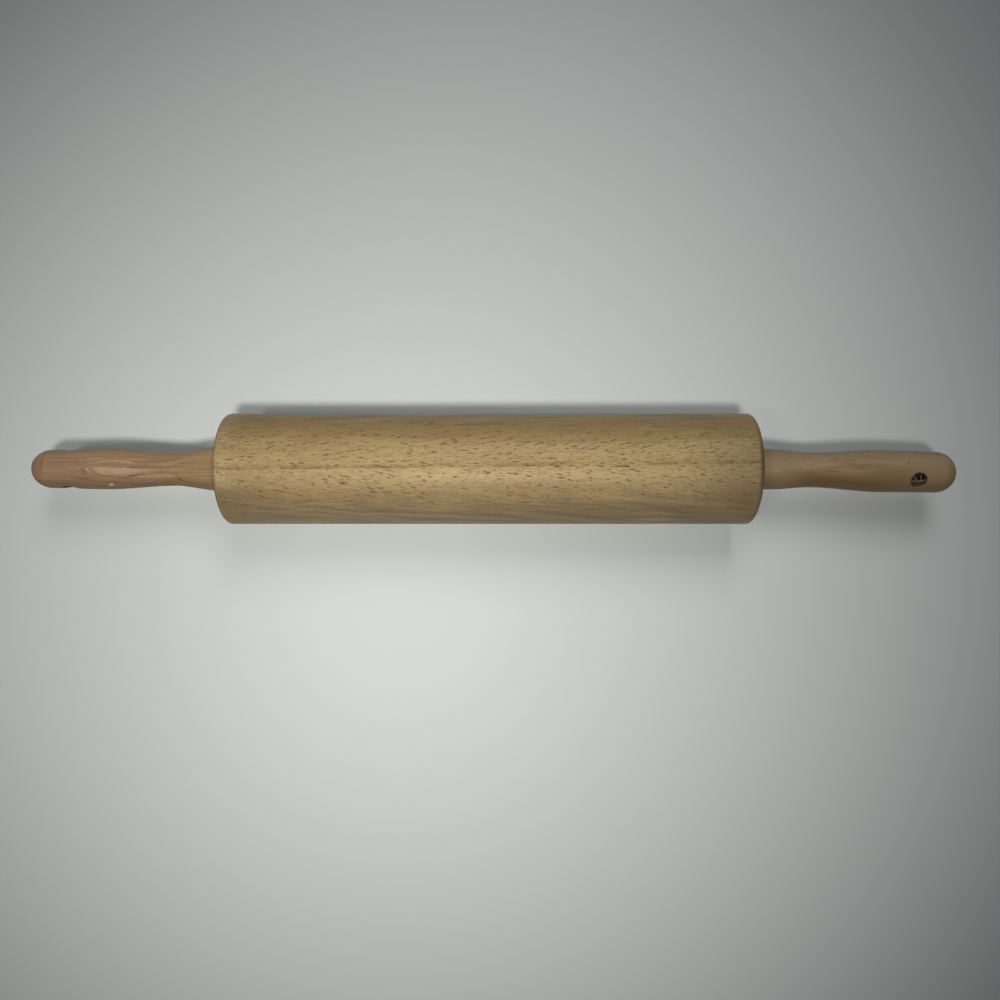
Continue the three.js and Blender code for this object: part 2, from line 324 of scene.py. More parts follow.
def mark_on_top(shader, place, mark):
    """One slanted streak or speck on the upper side, as a mask."""
    offset = shader.vector("SUBTRACT", place, (mark.x, mark.y, 0))
    turned_back = shader.vector("MULTIPLY", shader.turn(offset, (0, 0, 1), -mark.slant), (1, 1, 0))
    within = shader.measure("LENGTH", shader.vector("DIVIDE", turned_back, (mark.length, mark.width, 1)))
    on_top = shader.math("GREATER_THAN", shader.split(place)[2], 0.0)
    return shader.product(shader.remap(within, 1.0, 0.3, 0.0, mark.depth), on_top)


def pore_dashes(shader, unrolled, slope, cell, length, width, share):
    """Open pores: one ragged, slanting dash to a cell of the unrolled surface, of which a share shows."""
    cells = shader.vector("DIVIDE", unrolled, cell)
    inputs = {"Vector": cells, "Scale": 1.0, "Randomness": 1.0}
    voronoi = shader.add("TexVoronoi", inputs, voronoi_dimensions="2D")
    away = shader.vector("SUBTRACT", cells, voronoi.outputs["Position"])
    along, across, _ = shader.split(shader.vector("MULTIPLY", away, cell))
    chance, stretch, depth = shader.split(voronoi.outputs["Color"])
    ragged = shader.remap(shader.noise(unrolled, (1.3, 0.7, 1)), 0.3, 0.7, -0.5 * width, 0.5 * width)
    own_slope = shader.math("ADD", slope, shader.remap(stretch, 0.0, 1.0, -0.16, 0.16))
    slant = shader.math("ADD", shader.math("SUBTRACT", across, shader.product(own_slope, along)), ragged)
    reach = shader.math("DIVIDE", along, shader.remap(depth, 0.0, 1.0, 0.4 * length, 1.6 * length))
    spot = shader.combine(reach, shader.math("DIVIDE", slant, width), 0.0)
    dash = shader.remap(shader.measure("LENGTH", spot), 1.0, 0.35)
    clump = shader.noise(unrolled, (15, 6, 1), detail=2)
    shown = shader.math("LESS_THAN", chance, shader.remap(clump, 0.36, 0.6, 0.4 * share, share))
    return shader.product(dash, shown, shader.remap(depth, 0.0, 1.0, 0.45, 1.0))


def barrel_tone(shader, place, grain):
    """The barrel's wood without its pores: tan, paler along its top, with painted shade and a painted
    highlight.
    """
    x, y, _ = shader.split(place)
    sway = shader.noise(grain, (40, 6, 3), detail=3)
    streaky_y = shader.math("ADD", y, shader.remap(sway, 0.2, 0.8, -6.0, 6.0))
    # Paler along the top, partly the wood's own band; the ramp's darkening down both sides is painted shade
    colour = shader.ramp(
        shader.math("MULTIPLY_ADD", streaky_y, 1 / 60, 0.5),
        [(0.03, srgb(115, 101, 78)), (0.13, srgb(135, 118, 90)), (0.24, srgb(156, 135, 99)),
         (0.38, srgb(172, 147, 103)), (0.54, srgb(177, 151, 105)), (0.63, srgb(172, 146, 101)),
         (0.74, srgb(158, 133, 91)), (0.86, srgb(156, 131, 92)), (0.97, srgb(128, 110, 81))],
    )
    # Painted shade: the upper half of the barrel darkens towards its right end, where less light falls
    painted_shade_right_end = shader.remap(x, 78, 122, 0.0, 0.8)
    near_top = shader.remap(shader.math("ABSOLUTE", y), 22, 10)
    colour = shader.mix(shader.product(painted_shade_right_end, near_top), colour, srgb(137, 118, 84))
    # Painted shade: the lower side, towards negative y, darkens towards both ends of the barrel
    ends = shader.remap(shader.math("ABSOLUTE", x), 88, 122, 0.0, 0.5)
    colour = shader.mix(shader.product(ends, shader.remap(y, 2, -14)), colour, srgb(116, 100, 75))
    # Painted highlight along the rim of the barrel's left end
    painted_highlight_left_rim = shader.product(shader.remap(x, -117, -126), shader.remap(y, -15, -6), 0.45)
    colour = shader.mix(painted_highlight_left_rim, colour, srgb(188, 164, 128))
    blotch = shader.noise(grain, (55, 8, 8), detail=3)
    colour = shader.mix(shader.remap(blotch, 0.47, 0.7, 0.0, 0.35), colour, srgb(152, 118, 78))
    return shader.mix(shader.remap(blotch, 0.46, 0.3, 0.0, 0.3), colour, srgb(180, 157, 110))


def barrel_seam(shader, place):
    """The strip along the barrel's top in which its pores crowd, as a mask."""
    x, y, z = shader.split(place)
    off_seam = shader.math("SUBTRACT", y, shader.math("MULTIPLY_ADD", x, 0.012, -1.4))
    below, above = shader.remap(off_seam, -0.4, 0.2), shader.remap(off_seam, 3.0, 0.3)
    return shader.product(below, above, shader.remap(z, 0.0, 5.0))


def barrel_pores(shader, place, cut_across):
    """Masks of the barrel's large pores, its fine ones and those for the seam."""
    x, y, z = shader.split(place)
    off_top = shader.math("ABSOLUTE", y)
    around = shader.math("MULTIPLY", shader.math("ARCTAN2", y, z), BARREL_RADIUS / MM)
    unrolled = shader.combine(x, around, 0.0)
    fine_at = shader.vector("ADD", unrolled, (31, 17, 0))
    seam_at = shader.vector("ADD", unrolled, (57, 41, 0))
    fan = shader.remap(y, -6.0, 6.0, -0.2, 0.2)
    slope = shader.product(fan, shader.remap(off_top, 10, 22, 1.0, 0.35))
    large = pore_dashes(shader, unrolled, slope, cell=(4.9, 2.0, 1), length=1.6, width=0.36, share=0.95)
    fine = pore_dashes(shader, fine_at, slope, cell=(3.1, 1.4, 1), length=0.95, width=0.31, share=0.95)
    crowded = pore_dashes(shader, seam_at, 0.0, cell=(3.4, 1.4, 1), length=1.3, width=0.45, share=1.0)
    side_face = shader.math("SUBTRACT", 1.0, cut_across)
    open_face = shader.product(side_face, shader.remap(off_top, 12, 22, 1.0, 0.35))
    return shader.product(large, open_face), shader.product(fine, open_face), crowded


def barrel_wood():
    """Rubberwood, with dark pores that fan out from a broken seam of them along its top."""
    shader = Shader("barrel_rubberwood")
    place = shader.place()
    x, y, _ = shader.split(place)
    off_top = shader.math("ABSOLUTE", y)
    grain = shader.turn(place, (0, 1, 0), -5)
    cut_across = end_grain(shader, 1.5)

    colour = barrel_tone(shader, place, grain)
    fibre = shader.noise(grain, (22, 0.6, 0.4), detail=4, roughness=0.65)
    colour = shader.mix(shader.remap(fibre, 0.46, 0.68, 0.0, 0.45), colour, srgb(122, 98, 63))
    colour = shader.mix(shader.remap(fibre, 0.48, 0.32, 0.0, 0.3), colour, srgb(184, 162, 118))
    streak = shader.noise(grain, (38, 1.1, 1.1), detail=3)
    dark_streak = shader.product(shader.remap(streak, 0.54, 0.66), shader.remap(off_top, 12, 20), 0.4)
    colour = shader.mix(dark_streak, colour, srgb(104, 80, 50))

    seam = barrel_seam(shader, place)
    broken = shader.noise(place, (9, 1.2, 50), detail=3)
    seam_tint = shader.product(seam, shader.remap(broken, 0.36, 0.6, 0.05, 0.7))
    colour = shader.mix(seam_tint, colour, srgb(134, 100, 60))
    large, fine, crowded = barrel_pores(shader, place, cut_across)
    colour = shader.mix(shader.product(fine, 0.65), colour, srgb(118, 91, 54))
    colour = shader.mix(shader.product(crowded, seam, 0.85), colour, srgb(94, 66, 34))
    colour = shader.mix(shader.product(large, 0.85), colour, srgb(94, 69, 36))
    for mark in BARREL_MARKS:
        colour = shader.mix(mark_on_top(shader, place, mark), colour, srgb(78, 55, 26))

    # The end grain's own darker tint, made strong enough to also paint shade on the barrel's rounded end
    # edges
    rings = shader.noise(grain, (90, 12, 1.1), detail=3)
    end_grain_and_painted_shade = shader.product(shader.remap(rings, 0.4, 0.6, 0.6, 0.85), cut_across)
    colour = shader.mix(end_grain_and_painted_shade, colour, srgb(98, 76, 47))
    # Painted shade on the rounded edge at the barrel's right end, strongest near its top
    painted_shade_right_rim = shader.product(shader.remap(x, 122.1, 122.9), shader.remap(off_top, 18, 5, 0.25, 0.7))
    colour = shader.mix(painted_shade_right_rim, colour, srgb(86, 65, 38))
    pitted = shader.math("MULTIPLY_ADD", fine, 0.5, large)
    height = shader.math("SUBTRACT", shader.math("MULTIPLY", fibre, 0.25), pitted)
    sheen = shader.remap(fibre, 0.3, 0.7, 0.43, 0.5)
    shader.bsdf.inputs["Specular Tint"].default_value = (1.0, 0.88, 0.6, 1.0)
    return shader.surface(colour, shader.math("MULTIPLY_ADD", pitted, 0.2, sheen), height, depth_mm=0.07)


def hole_wall_darkening(shader, place, handle):
    """The darker wall of a handle's hanging hole, as a mask."""
    x = handle.outward * (COLLAR_FACE + handle.hole_at) / MM
    lean = handle.lean * handle.hole_at / HANDLE_LENGTH / MM
    upright = shader.turn(shader.vector("SUBTRACT", place, (x, lean, 0)), (1, 0, 0), -handle.hole_tilt)
    from_axis = shader.measure("LENGTH", shader.vector("MULTIPLY", upright, (1, 1, 0)))
    return shader.remap(from_axis, HOLE_RADIUS / MM + 0.35, HOLE_RADIUS / MM + 0.05)


def flank(shader, place, start, end):
    """How far round its side a point of a handle lies, as a mask that rises from start to end."""
    _, y, _ = shader.split(place)
    from_axle = shader.measure("LENGTH", shader.vector("MULTIPLY", place, (0, 1, 1)))
    sideways = shader.math("DIVIDE", shader.math("ABSOLUTE", y), from_axle)
    return shader.remap(sideways, start, end)


def left_handle_tone(shader, place, layer, streak, fibre):
    """The left handle's colours by place: the grip with its pale eye, the neck, the collar and the tip."""
    x, y, _ = shader.split(place)
    colour = shader.ramp(
        streak,
        [(0.36, srgb(132, 100, 71)), (0.45, srgb(156, 124, 92)), (0.55, srgb(166, 135, 101)),
         (0.63, srgb(190, 160, 124))],
    )
    on_grip = shader.remap(x, -163, -172)
    pale = shader.remap(fibre, 0.35, 0.65, 0.25, 0.95)
    eye = shader.product(shader.remap(layer, 9.38, 9.52), on_grip, pale)
    colour = shader.mix(eye, colour, srgb(184, 155, 119))
    edge = shader.product(shader.remap(layer, 9.05, 9.3), shader.remap(layer, 9.52, 9.42), on_grip)
    colour = shader.mix(shader.product(edge, 0.3), colour, srgb(130, 98, 68))
    colour = shader.mix(shader.remap(x, -172, -158, 0.0, 0.35), colour, srgb(146, 115, 80))
    at_collar = shader.product(shader.remap(layer, 9.85, 10.05), shader.remap(x, -160, -154))
    colour = shader.mix(shader.product(at_collar, 0.65), colour, srgb(158, 130, 91))
    # Painted shadow: the barrel's shade on the collar, next to its face
    colour = shader.mix(shader.remap(x, -136.6, -135.4, 0.0, 0.45), colour, srgb(118, 94, 64))
    colour = shader.mix(shader.remap(x, -192, -210, 0.0, 0.75), colour, srgb(160, 127, 99))
    lathe_ring = shader.product(shader.remap(x, -218.2, -217.5), shader.remap(x, -216.2, -216.9))
    ring_depth = shader.remap(y, -3, 1, 0.1, 0.5)
    return shader.mix(shader.product(lathe_ring, ring_depth), colour, srgb(122, 86, 50))


def left_handle_wood():
    """A pinker wood whose growth layers lie flat under the grip, where they leave a pale eye."""
    eye_middle, layer_normal = (-181.5, 0, 0), (0.054, -0.182, 0.982)
    shader = Shader("left_handle_wood")
    place = shader.place()
    x, y, _ = shader.split(place)
    level = shader.measure("DOT_PRODUCT", shader.vector("SUBTRACT", place, eye_middle), layer_normal)
    wander = shader.noise(place, (15, 3, 4), detail=4, roughness=0.6)
    layer = shader.math("ADD", level, shader.remap(wander, 0.2, 0.8, -0.3, 0.3))
    layered = shader.combine(x, y, layer)
    streak = shader.noise(layered, (26, 6, 0.55), detail=4, roughness=0.65)
    fibre = shader.noise(layered, (9, 0.5, 0.25), detail=3)
    line = shader.noise(place, (30, 0.6, 5), detail=3, roughness=0.6)

    colour = left_handle_tone(shader, place, layer, streak, fibre)
    colour = shader.mix(shader.remap(fibre, 0.55, 0.72, 0.0, 0.35), colour, srgb(118, 87, 58))
    colour = shader.mix(shader.remap(line, 0.53, 0.66, 0.0, 0.5), colour, srgb(122, 92, 62))
    colour = shader.mix(shader.remap(line, 0.46, 0.34, 0.0, 0.4), colour, srgb(186, 154, 118))
    # Painted shade down the handle's flanks, strongest on its lower side
    painted_shade_low_flank = shader.product(flank(shader, place, 0.45, 1.0), shader.remap(y, 1, -2, 0.25, 0.75))
    colour = shader.mix(painted_shade_low_flank, colour, srgb(116, 91, 65))
    # Painted light: paler towards the handle's upper side
    colour = shader.mix(shader.remap(y, 1, 7, 0.0, 0.3), colour, srgb(196, 162, 128))
    for mark in (Mark(-151.4, -5.6, 2.4, 0.5, -32, 0.8), Mark(-146.5, -7.2, 4.2, 0.35, -13, 0.5)):
        colour = shader.mix(mark_on_top(shader, place, mark), colour, srgb(88, 62, 38))
    pale_fleck = mark_on_top(shader, place, Mark(-184.7, -8.1, 1.7, 0.75, 4, 0.9))
    colour = shader.mix(pale_fleck, colour, srgb(220, 196, 156))
    # The end grain's own darker tint, which also paints shade on the rim of the tip
    colour = shader.mix(shader.product(end_grain(shader), 0.7), colour, srgb(108, 86, 60))
    # The hanging hole's wall drawn darker
    darker_hole_wall = shader.product(hole_wall_darkening(shader, place, LEFT_HANDLE), 0.4)
    colour = shader.mix(darker_hole_wall, colour, srgb(96, 72, 48))
    height = shader.math("MULTIPLY_ADD", fibre, -0.5, streak)
    shader.bsdf.inputs["Specular IOR Level"].default_value = 0.35
    return shader.surface(colour, shader.remap(streak, 0.3, 0.7, 0.54, 0.44), height, depth_mm=0.06)


def right_handle_wood():
    """A smooth, straw-coloured wood, browner towards one side, with a few thin reddish lines."""
    shader = Shader("right_handle_wood")
    place = shader.place()
    x, y, _ = shader.split(place)
    grain = shader.turn(place, (0, 0, 1), 1.0)
    blotch = shader.noise(grain, (30, 5, 5), detail=3)
    fibre = shader.noise(grain, (16, 0.5, 0.5), detail=4, roughness=0.6)
    lines = shader.noise(grain, (13, 0.42, 0.42), detail=2)
    colour = shader.ramp(
        shader.math("MULTIPLY_ADD", y, 0.05, blotch),
        [(0.08, srgb(125, 97, 63)), (0.4, srgb(143, 115, 78)), (0.58, srgb(158, 132, 95)),
         (0.9, srgb(174, 152, 123))],
    )
    colour = shader.mix(shader.remap(x, 152, 138, 0.0, 0.6), colour, srgb(148, 127, 95))
    # Painted shadow: the barrel's shade on the collar, next to its face
    colour = shader.mix(shader.remap(x, 136, 131, 0.0, 0.4), colour, srgb(118, 99, 70))
    colour = shader.mix(shader.remap(x, 176, 214, 0.0, 0.6), colour, srgb(168, 145, 114))
    colour = shader.mix(shader.remap(fibre, 0.4, 0.7, 0.0, 0.3), colour, srgb(116, 90, 58))
    streaked = shader.product(shader.remap(x, 144, 152), shader.remap(x, 200, 190))
    line = shader.product(shader.remap(lines, 0.56, 0.66), streaked, shader.remap(y, -3.5, -0.5))
    colour = shader.mix(shader.product(line, 0.6), colour, srgb(122, 76, 42))
    # Painted shade down the handle's flanks
    colour = shader.mix(shader.product(flank(shader, place, 0.6, 1.0), 0.3), colour, srgb(112, 92, 66))
    dark_speck = mark_on_top(shader, place, Mark(198.8, 2.0, 1.0, 0.6, 10, 0.6))
    colour = shader.mix(dark_speck, colour, srgb(104, 66, 40))
    for x_mm, y_mm, size in ((135.2, -1.9, 0.8), (133.8, 0.6, 0.5), (198.9, 1.0, 0.7)):
        pale_speck = mark_on_top(shader, place, Mark(x_mm, y_mm, size, 0.5, 0, 0.5))
        colour = shader.mix(pale_speck, colour, srgb(188, 166, 128))
    # The end grain's own darker tint, which also paints shade on the rim of the tip
    colour = shader.mix(shader.product(end_grain(shader), 0.6), colour, srgb(104, 82, 58))
    # The hanging hole's wall drawn darker
    darker_hole_wall = shader.product(hole_wall_darkening(shader, place, RIGHT_HANDLE), 0.5)
    colour = shader.mix(darker_hole_wall, colour, srgb(88, 62, 38))
    height = shader.math("MULTIPLY_ADD", line, -0.5, shader.math("MULTIPLY", fibre, 0.4))
    shader.bsdf.inputs["Specular IOR Level"].default_value = 0.4
    return shader.surface(colour, shader.remap(fibre, 0.3, 0.7, 0.46, 0.56), height, depth_mm=0.05)


def torn_fibre():
    """Raw wood where the drill tore out."""
    shader = Shader("torn_fibre")
    fibre = shader.noise(shader.place(), (3, 0.2, 0.2), detail=3)
    colour = shader.ramp(fibre, [(0.3, srgb(98, 80, 58)), (0.7, srgb(140, 120, 94))])
    return shader.surface(colour, shader.remap(fibre, 0.3, 0.7, 0.6, 0.75), fibre, depth_mm=0.04)


def zinc_steel():
    """Drawn and zinc-plated steel, with fine lines round it and a patchy dull bloom."""
    shader = Shader("zinc_steel")
    place = shader.place()
    lines = shader.noise(place, (0.15, 4, 4), detail=3)
    bloom = shader.noise(place, (6, 6, 6), detail=4)
    colour = shader.ramp(bloom, [(0.3, srgb(150, 152, 155)), (0.7, srgb(196, 198, 200))])
    shader.bsdf.inputs["Metallic"].default_value = 1.0
    return shader.surface(colour, shader.remap(bloom, 0.3, 0.7, 0.42, 0.26), lines, depth_mm=0.01)


def nylon():
    """Moulded natural nylon: creamy, a little waxy and faintly mottled."""
    shader = Shader("natural_nylon")
    place = shader.place()
    mottle = shader.noise(place, (5, 5, 5), detail=3)
    grainy = shader.noise(place, (0.25, 0.25, 0.25), detail=2)
    colour = shader.ramp(mottle, [(0.3, srgb(214, 206, 184)), (0.7, srgb(232, 226, 208))])
    shader.bsdf.inputs["Subsurface Weight"].default_value = 0.15
    shader.bsdf.inputs["Subsurface Scale"].default_value = 1.5 * MM
    return shader.surface(colour, shader.remap(mottle, 0.3, 0.7, 0.4, 0.52), grainy, depth_mm=0.01)


# Meshes

def make_object(name, verts, faces, material, body, node=None, sharp_degrees=WOOD_SHARP):
    """A closed mesh as a smooth-shaded piece that rides on a body and may stand for a CAD node."""
    mesh = bpy.data.meshes.new(name)
    mesh.from_pydata(verts, [], faces)
    work = bmesh.new()
    work.from_mesh(mesh)
    bmesh.ops.recalc_face_normals(work, faces=work.faces)
    work.to_mesh(mesh)
    work.free()
    mesh.shade_smooth()
    mesh.set_sharp_from_angle(angle=math.radians(sharp_degrees))
    mesh.materials.append(material)
    piece = bpy.data.objects.new(name, mesh)
    bpy.context.collection.objects.link(piece)
    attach(piece, body)
    if node:
        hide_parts(node)


def joined(rings, closed=False):
    """Faces between neighbouring rings of vertex numbers. A ring of one vertex is a point on the axle."""
    faces = []
    following = rings[1:] + rings[:1] if closed else rings[1:]
    for one, two in zip(rings, following):
        count = max(len(one), len(two))
        for k in range(count):
            corners = [one[k % len(one)], one[(k + 1) % len(one)], two[(k + 1) % len(two)], two[k % len(two)]]
            faces.append(list(dict.fromkeys(corners)))
    return faces


def turned(profile, segments, closed=False, relief=None):
    """Vertices and faces of a profile of (x, radius) points turned about the axle.

    A relief is a function of x, radius and angle that says how far the surface stands out there.
    """
    verts, rings = [], []
    for x, radius in profile:
        ring = []
        for k in range(segments if radius else 1):
            angle = 2 * math.pi * k / segments
            r = radius + relief(x, radius, angle) if relief else radius
            ring.append(len(verts))
            verts.append((x, -r * math.sin(angle), AXLE_Z + r * math.cos(angle)))
        rings.append(ring)
    return verts, joined(rings, closed)


def arc(centre, radius, start, steps):
    """A quarter of a circle about (x, radius), from an angle in degrees, in the plane of a profile."""
    points = []
    for k in range(steps + 1):
        angle = math.radians(start + 90 * k / steps)
        points.append((centre[0] + radius * math.sin(angle), centre[1] + radius * math.cos(angle)))
    return points


def even(start, end, step):
    """Places from start to end, about a step apart, without the first."""
    count = max(1, round(abs(end - start) / step))
    return [start + (end - start) * k / count for k in range(1, count + 1)]


def make_barrel():
    """The roller, with rounded edges, and a bore that widens at each end to seat a bushing."""
    segments, edge_steps, step = 192, 8, 3 * MM
    seat_end = FLANGE_FACE - FLANGE_THICKNESS - SEAT_CLEARANCE
    sleeve_end = seat_end - SLEEVE_LENGTH
    flat = BARREL_END - BARREL_EDGE
    right = arc((flat, BARREL_RADIUS - BARREL_EDGE), BARREL_EDGE, 0, edge_steps)
    right += [(BARREL_END, r) for r in even(BARREL_RADIUS - BARREL_EDGE, FLANGE_SEAT, step)]
    right += [(seat_end, FLANGE_SEAT), (seat_end, SLEEVE_SEAT)]
    right += [(sleeve_end, SLEEVE_SEAT), (sleeve_end, BARREL_BORE)]
    left = [(-x, r) for x, r in reversed(right)]
    outside = [(x, BARREL_RADIUS) for x in even(-flat, flat, step)[:-1]]
    profile = [(x + BARREL_MIDDLE, r) for x, r in left + outside + right]

    def sanding(x, radius, angle):
        """Shallow waves that sanding leaves, all of them below the turned surface."""
        if radius < FLANGE_SEAT + step:
            return 0.0
        spot = Vector((x / SANDING_WAVE, math.sin(angle) * 2, math.cos(angle) * 2))
        return -SANDING_DEPTH * (1 + noise.noise(spot))

    verts, faces = turned(profile, segments, closed=True, relief=sanding)
    make_object("rolling_barrel", verts, faces, barrel_wood(), "roller", "barrel")


def dome_reach(handle):
    """The dome ellipse's half length and the angle at which the tip's flat cuts it."""
    end_angle = math.acos(TIP_FLAT_RADIUS / handle.dome)
    return DOME_LENGTH / math.sin(end_angle), end_angle


def handle_radius(t, handle):
    """The handle's radius at a distance from its collar's face: three S-shaped stretches and a dome."""
    if t <= COLLAR_LENGTH:
        return handle.collar
    if t >= DOME_AT:
        reach, _ = dome_reach(handle)
        return handle.dome * math.sqrt(1 - ((t - DOME_AT) / reach) ** 2)
    stretches = [(COLLAR_LENGTH, handle.collar), (NECK_AT, handle.neck)]
    stretches += [(GRIP_AT, handle.grip), (DOME_AT, handle.dome)]
    for (t0, r0), (t1, r1) in zip(stretches, stretches[1:]):
        if t <= t1:
            u = (t - t0) / (t1 - t0)
            return r0 + (r1 - r0) * u * u * (3 - 2 * u)


def socket_profile():
    """(t, radius) points from the end of the socket to its chamfered mouth."""
    step = 6 * MM
    profile = [(SOCKET_DEPTH + DRILL_POINT, 0.0), (SOCKET_DEPTH, SOCKET_RADIUS)]
    profile += [(t, SOCKET_RADIUS) for t in even(SOCKET_DEPTH, SOCKET_CHAMFER, step)]
    return profile + [(0.0, SOCKET_RADIUS + SOCKET_CHAMFER)]


def outer_profile(handle):
    """(t, radius) points from the collar's face along the neck and the grip to the tip."""
    step, edge_steps, dome_steps = 0.9 * MM, 5, 22
    profile = arc((COLLAR_EDGE, handle.collar - COLLAR_EDGE), COLLAR_EDGE, -90, edge_steps)
    profile += [(t, handle_radius(t, handle)) for t in even(COLLAR_EDGE, DOME_AT, step)]
    reach, end_angle = dome_reach(handle)
    for angle in even(0, end_angle, end_angle / dome_steps):
        profile.append((DOME_AT + reach * math.sin(angle), handle.dome * math.cos(angle)))
    tip_ring = 0.7 * TIP_FLAT_RADIUS
    return profile + [(HANDLE_LENGTH, tip_ring), (HANDLE_LENGTH, 0.0)]


class HandleFrame:
    """Turns a place along a handle, across its hole and up the hole into a place in the row frame."""

    def __init__(self, handle):
        tilt = math.radians(handle.hole_tilt)
        self.handle = handle
        self.up = Vector((0, -math.sin(tilt), math.cos(tilt)))
        self.across = Vector((0, math.cos(tilt), math.sin(tilt)))

    def place(self, t, across, up, leaning=True):
        """The place at a distance t from the collar's face. The socket follows the axle and doesn't lean."""
        lean = self.handle.lean * t / HANDLE_LENGTH if leaning else 0.0
        foot = Vector((self.handle.outward * (COLLAR_FACE + t), lean, AXLE_Z))
        return tuple(foot + across * self.across + up * self.up)


class HandleMesh:
    """The vertices and faces of a turned handle whose hanging hole has a rounded rim.

    The grid of turned faces leaves a window round each mouth, and rings of faces close it in on the hole.
    """

    columns, half_window, window_reach = 120, 13, 7.5 * MM
    patch_rings, rim_steps, wall_rings = 6, 5, 10

    def __init__(self, handle):
        self.handle, self.local = handle, HandleFrame(handle)
        self.verts, self.faces = [], []
        socket = socket_profile()
        self.profile = socket + outer_profile(handle)
        self.rings = []
        for i, (t, radius) in enumerate(self.profile):
            self.rings.append(self.turned_ring(t, radius, leaning=i >= len(socket)))
        beside_hole = [i for i in range(len(socket), len(self.profile))
                       if abs(self.profile[i][0] - handle.hole_at) < self.window_reach]
        self.first, self.last = beside_hole[0], beside_hole[-1]
        self.add_turned_faces()
        self.add_wall(self.add_mouth(1), self.add_mouth(-1))

    def put(self, *place):
        """A new vertex at a place in the handle's frame, as its number."""
        self.verts.append(self.local.place(*place))
        return len(self.verts) - 1

    def put_on_surface(self, along, across, side, drop=0.0):
        """A new vertex beside the hole's axis, on the turned surface or a drop below it."""
        t = self.handle.hole_at + along
        height = math.sqrt(handle_radius(t, self.handle) ** 2 - across ** 2)
        return self.put(t, across, side * (height - drop))

    def turned_ring(self, t, radius, leaning):
        """A ring of vertices about the axle, which follows the handle's lean or not."""
        angles = [2 * math.pi * k / self.columns for k in range(self.columns if radius else 1)]
        return [self.put(t, radius * math.sin(a), radius * math.cos(a), leaning) for a in angles]

    def in_window(self, i, k):
        """Whether the face after ring i and column k is left out for one of the mouths."""
        near = (k + self.half_window) % (self.columns // 2) < 2 * self.half_window
        return self.first <= i < self.last and near

    def add_turned_faces(self):
        """The grid of faces between the turned rings, without the windows."""
        for i in range(len(self.rings) - 1):
            strip = joined(self.rings[i:i + 2])
            self.faces += [face for k, face in enumerate(strip) if not self.in_window(i, k)]

    def window_border(self):
        """The window's border round the upper mouth, as numbers of rings and columns."""
        first, last, half = self.first, self.last, self.half_window
        border = [(first, k) for k in range(-half, half)]
        border += [(i, half) for i in range(first, last)]
        border += [(last, k) for k in range(half, -half, -1)]
        return border + [(i, -half) for i in range(last, first, -1)]

    def border_spot(self, i, k):
        """A border vertex's distance from the hole's axis along the handle and across it, and its bearing."""
        t, radius = self.profile[i]
        along, across = t - self.handle.hole_at, radius * math.sin(2 * math.pi * k / self.columns)
        return along, across, math.atan2(across, along)

    def add_mouth(self, side):
        """Faces from one window in to the hole and over its rim. Gives the last ring, on the hole's wall."""
        border = self.window_border()
        spots = [self.border_spot(i, k) for i, k in border]
        columns = [(k if side > 0 else self.columns // 2 - k) % self.columns for _, k in border]
        loops = [[self.rings[i][column] for (i, _), column in zip(border, columns)]]
        rim_start = HOLE_RADIUS + HOLE_RIM
        for step in range(1, self.patch_rings + 1):
            s = step / self.patch_rings
            ring = []
            for along, across, bearing in spots:
                along += (rim_start * math.cos(bearing) - along) * s
                across += (rim_start * math.sin(bearing) - across) * s
                ring.append(self.put_on_surface(along, across, side))
            loops.append(ring)
        for step in range(1, self.rim_steps + 1):
            bend = math.pi / 2 * step / self.rim_steps
            reach = HOLE_RADIUS + HOLE_RIM * (1 - math.sin(bend))
            drop = HOLE_RIM * (1 - math.cos(bend))
            places = [(reach * math.cos(bearing), reach * math.sin(bearing)) for _, _, bearing in spots]
            loops.append([self.put_on_surface(along, across, side, drop) for along, across in places])
        self.faces += joined(loops)
        return loops[-1]

    def add_wall(self, upper, lower):
        """The hole's wall between the last rings of its two mouths."""
        walls = [upper]
        for step in range(1, self.wall_rings):
            ring = []
            for one, two in zip(upper, lower):
                spot = Vector(self.verts[one]).lerp(Vector(self.verts[two]), step / self.wall_rings)
                ring.append(len(self.verts))
                self.verts.append(tuple(spot))
            walls.append(ring)
        self.faces += joined(walls + [lower])


def make_handles():
    """The two handles, each of its own wood."""
    for handle, material in ((LEFT_HANDLE, left_handle_wood()), (RIGHT_HANDLE, right_handle_wood())):
        mesh = HandleMesh(handle)
        node = f"{handle.side}_handle"
        name = f"{handle.side}_turned_handle"
        make_object(name, mesh.verts, mesh.faces, material, "handles_and_axle", node)


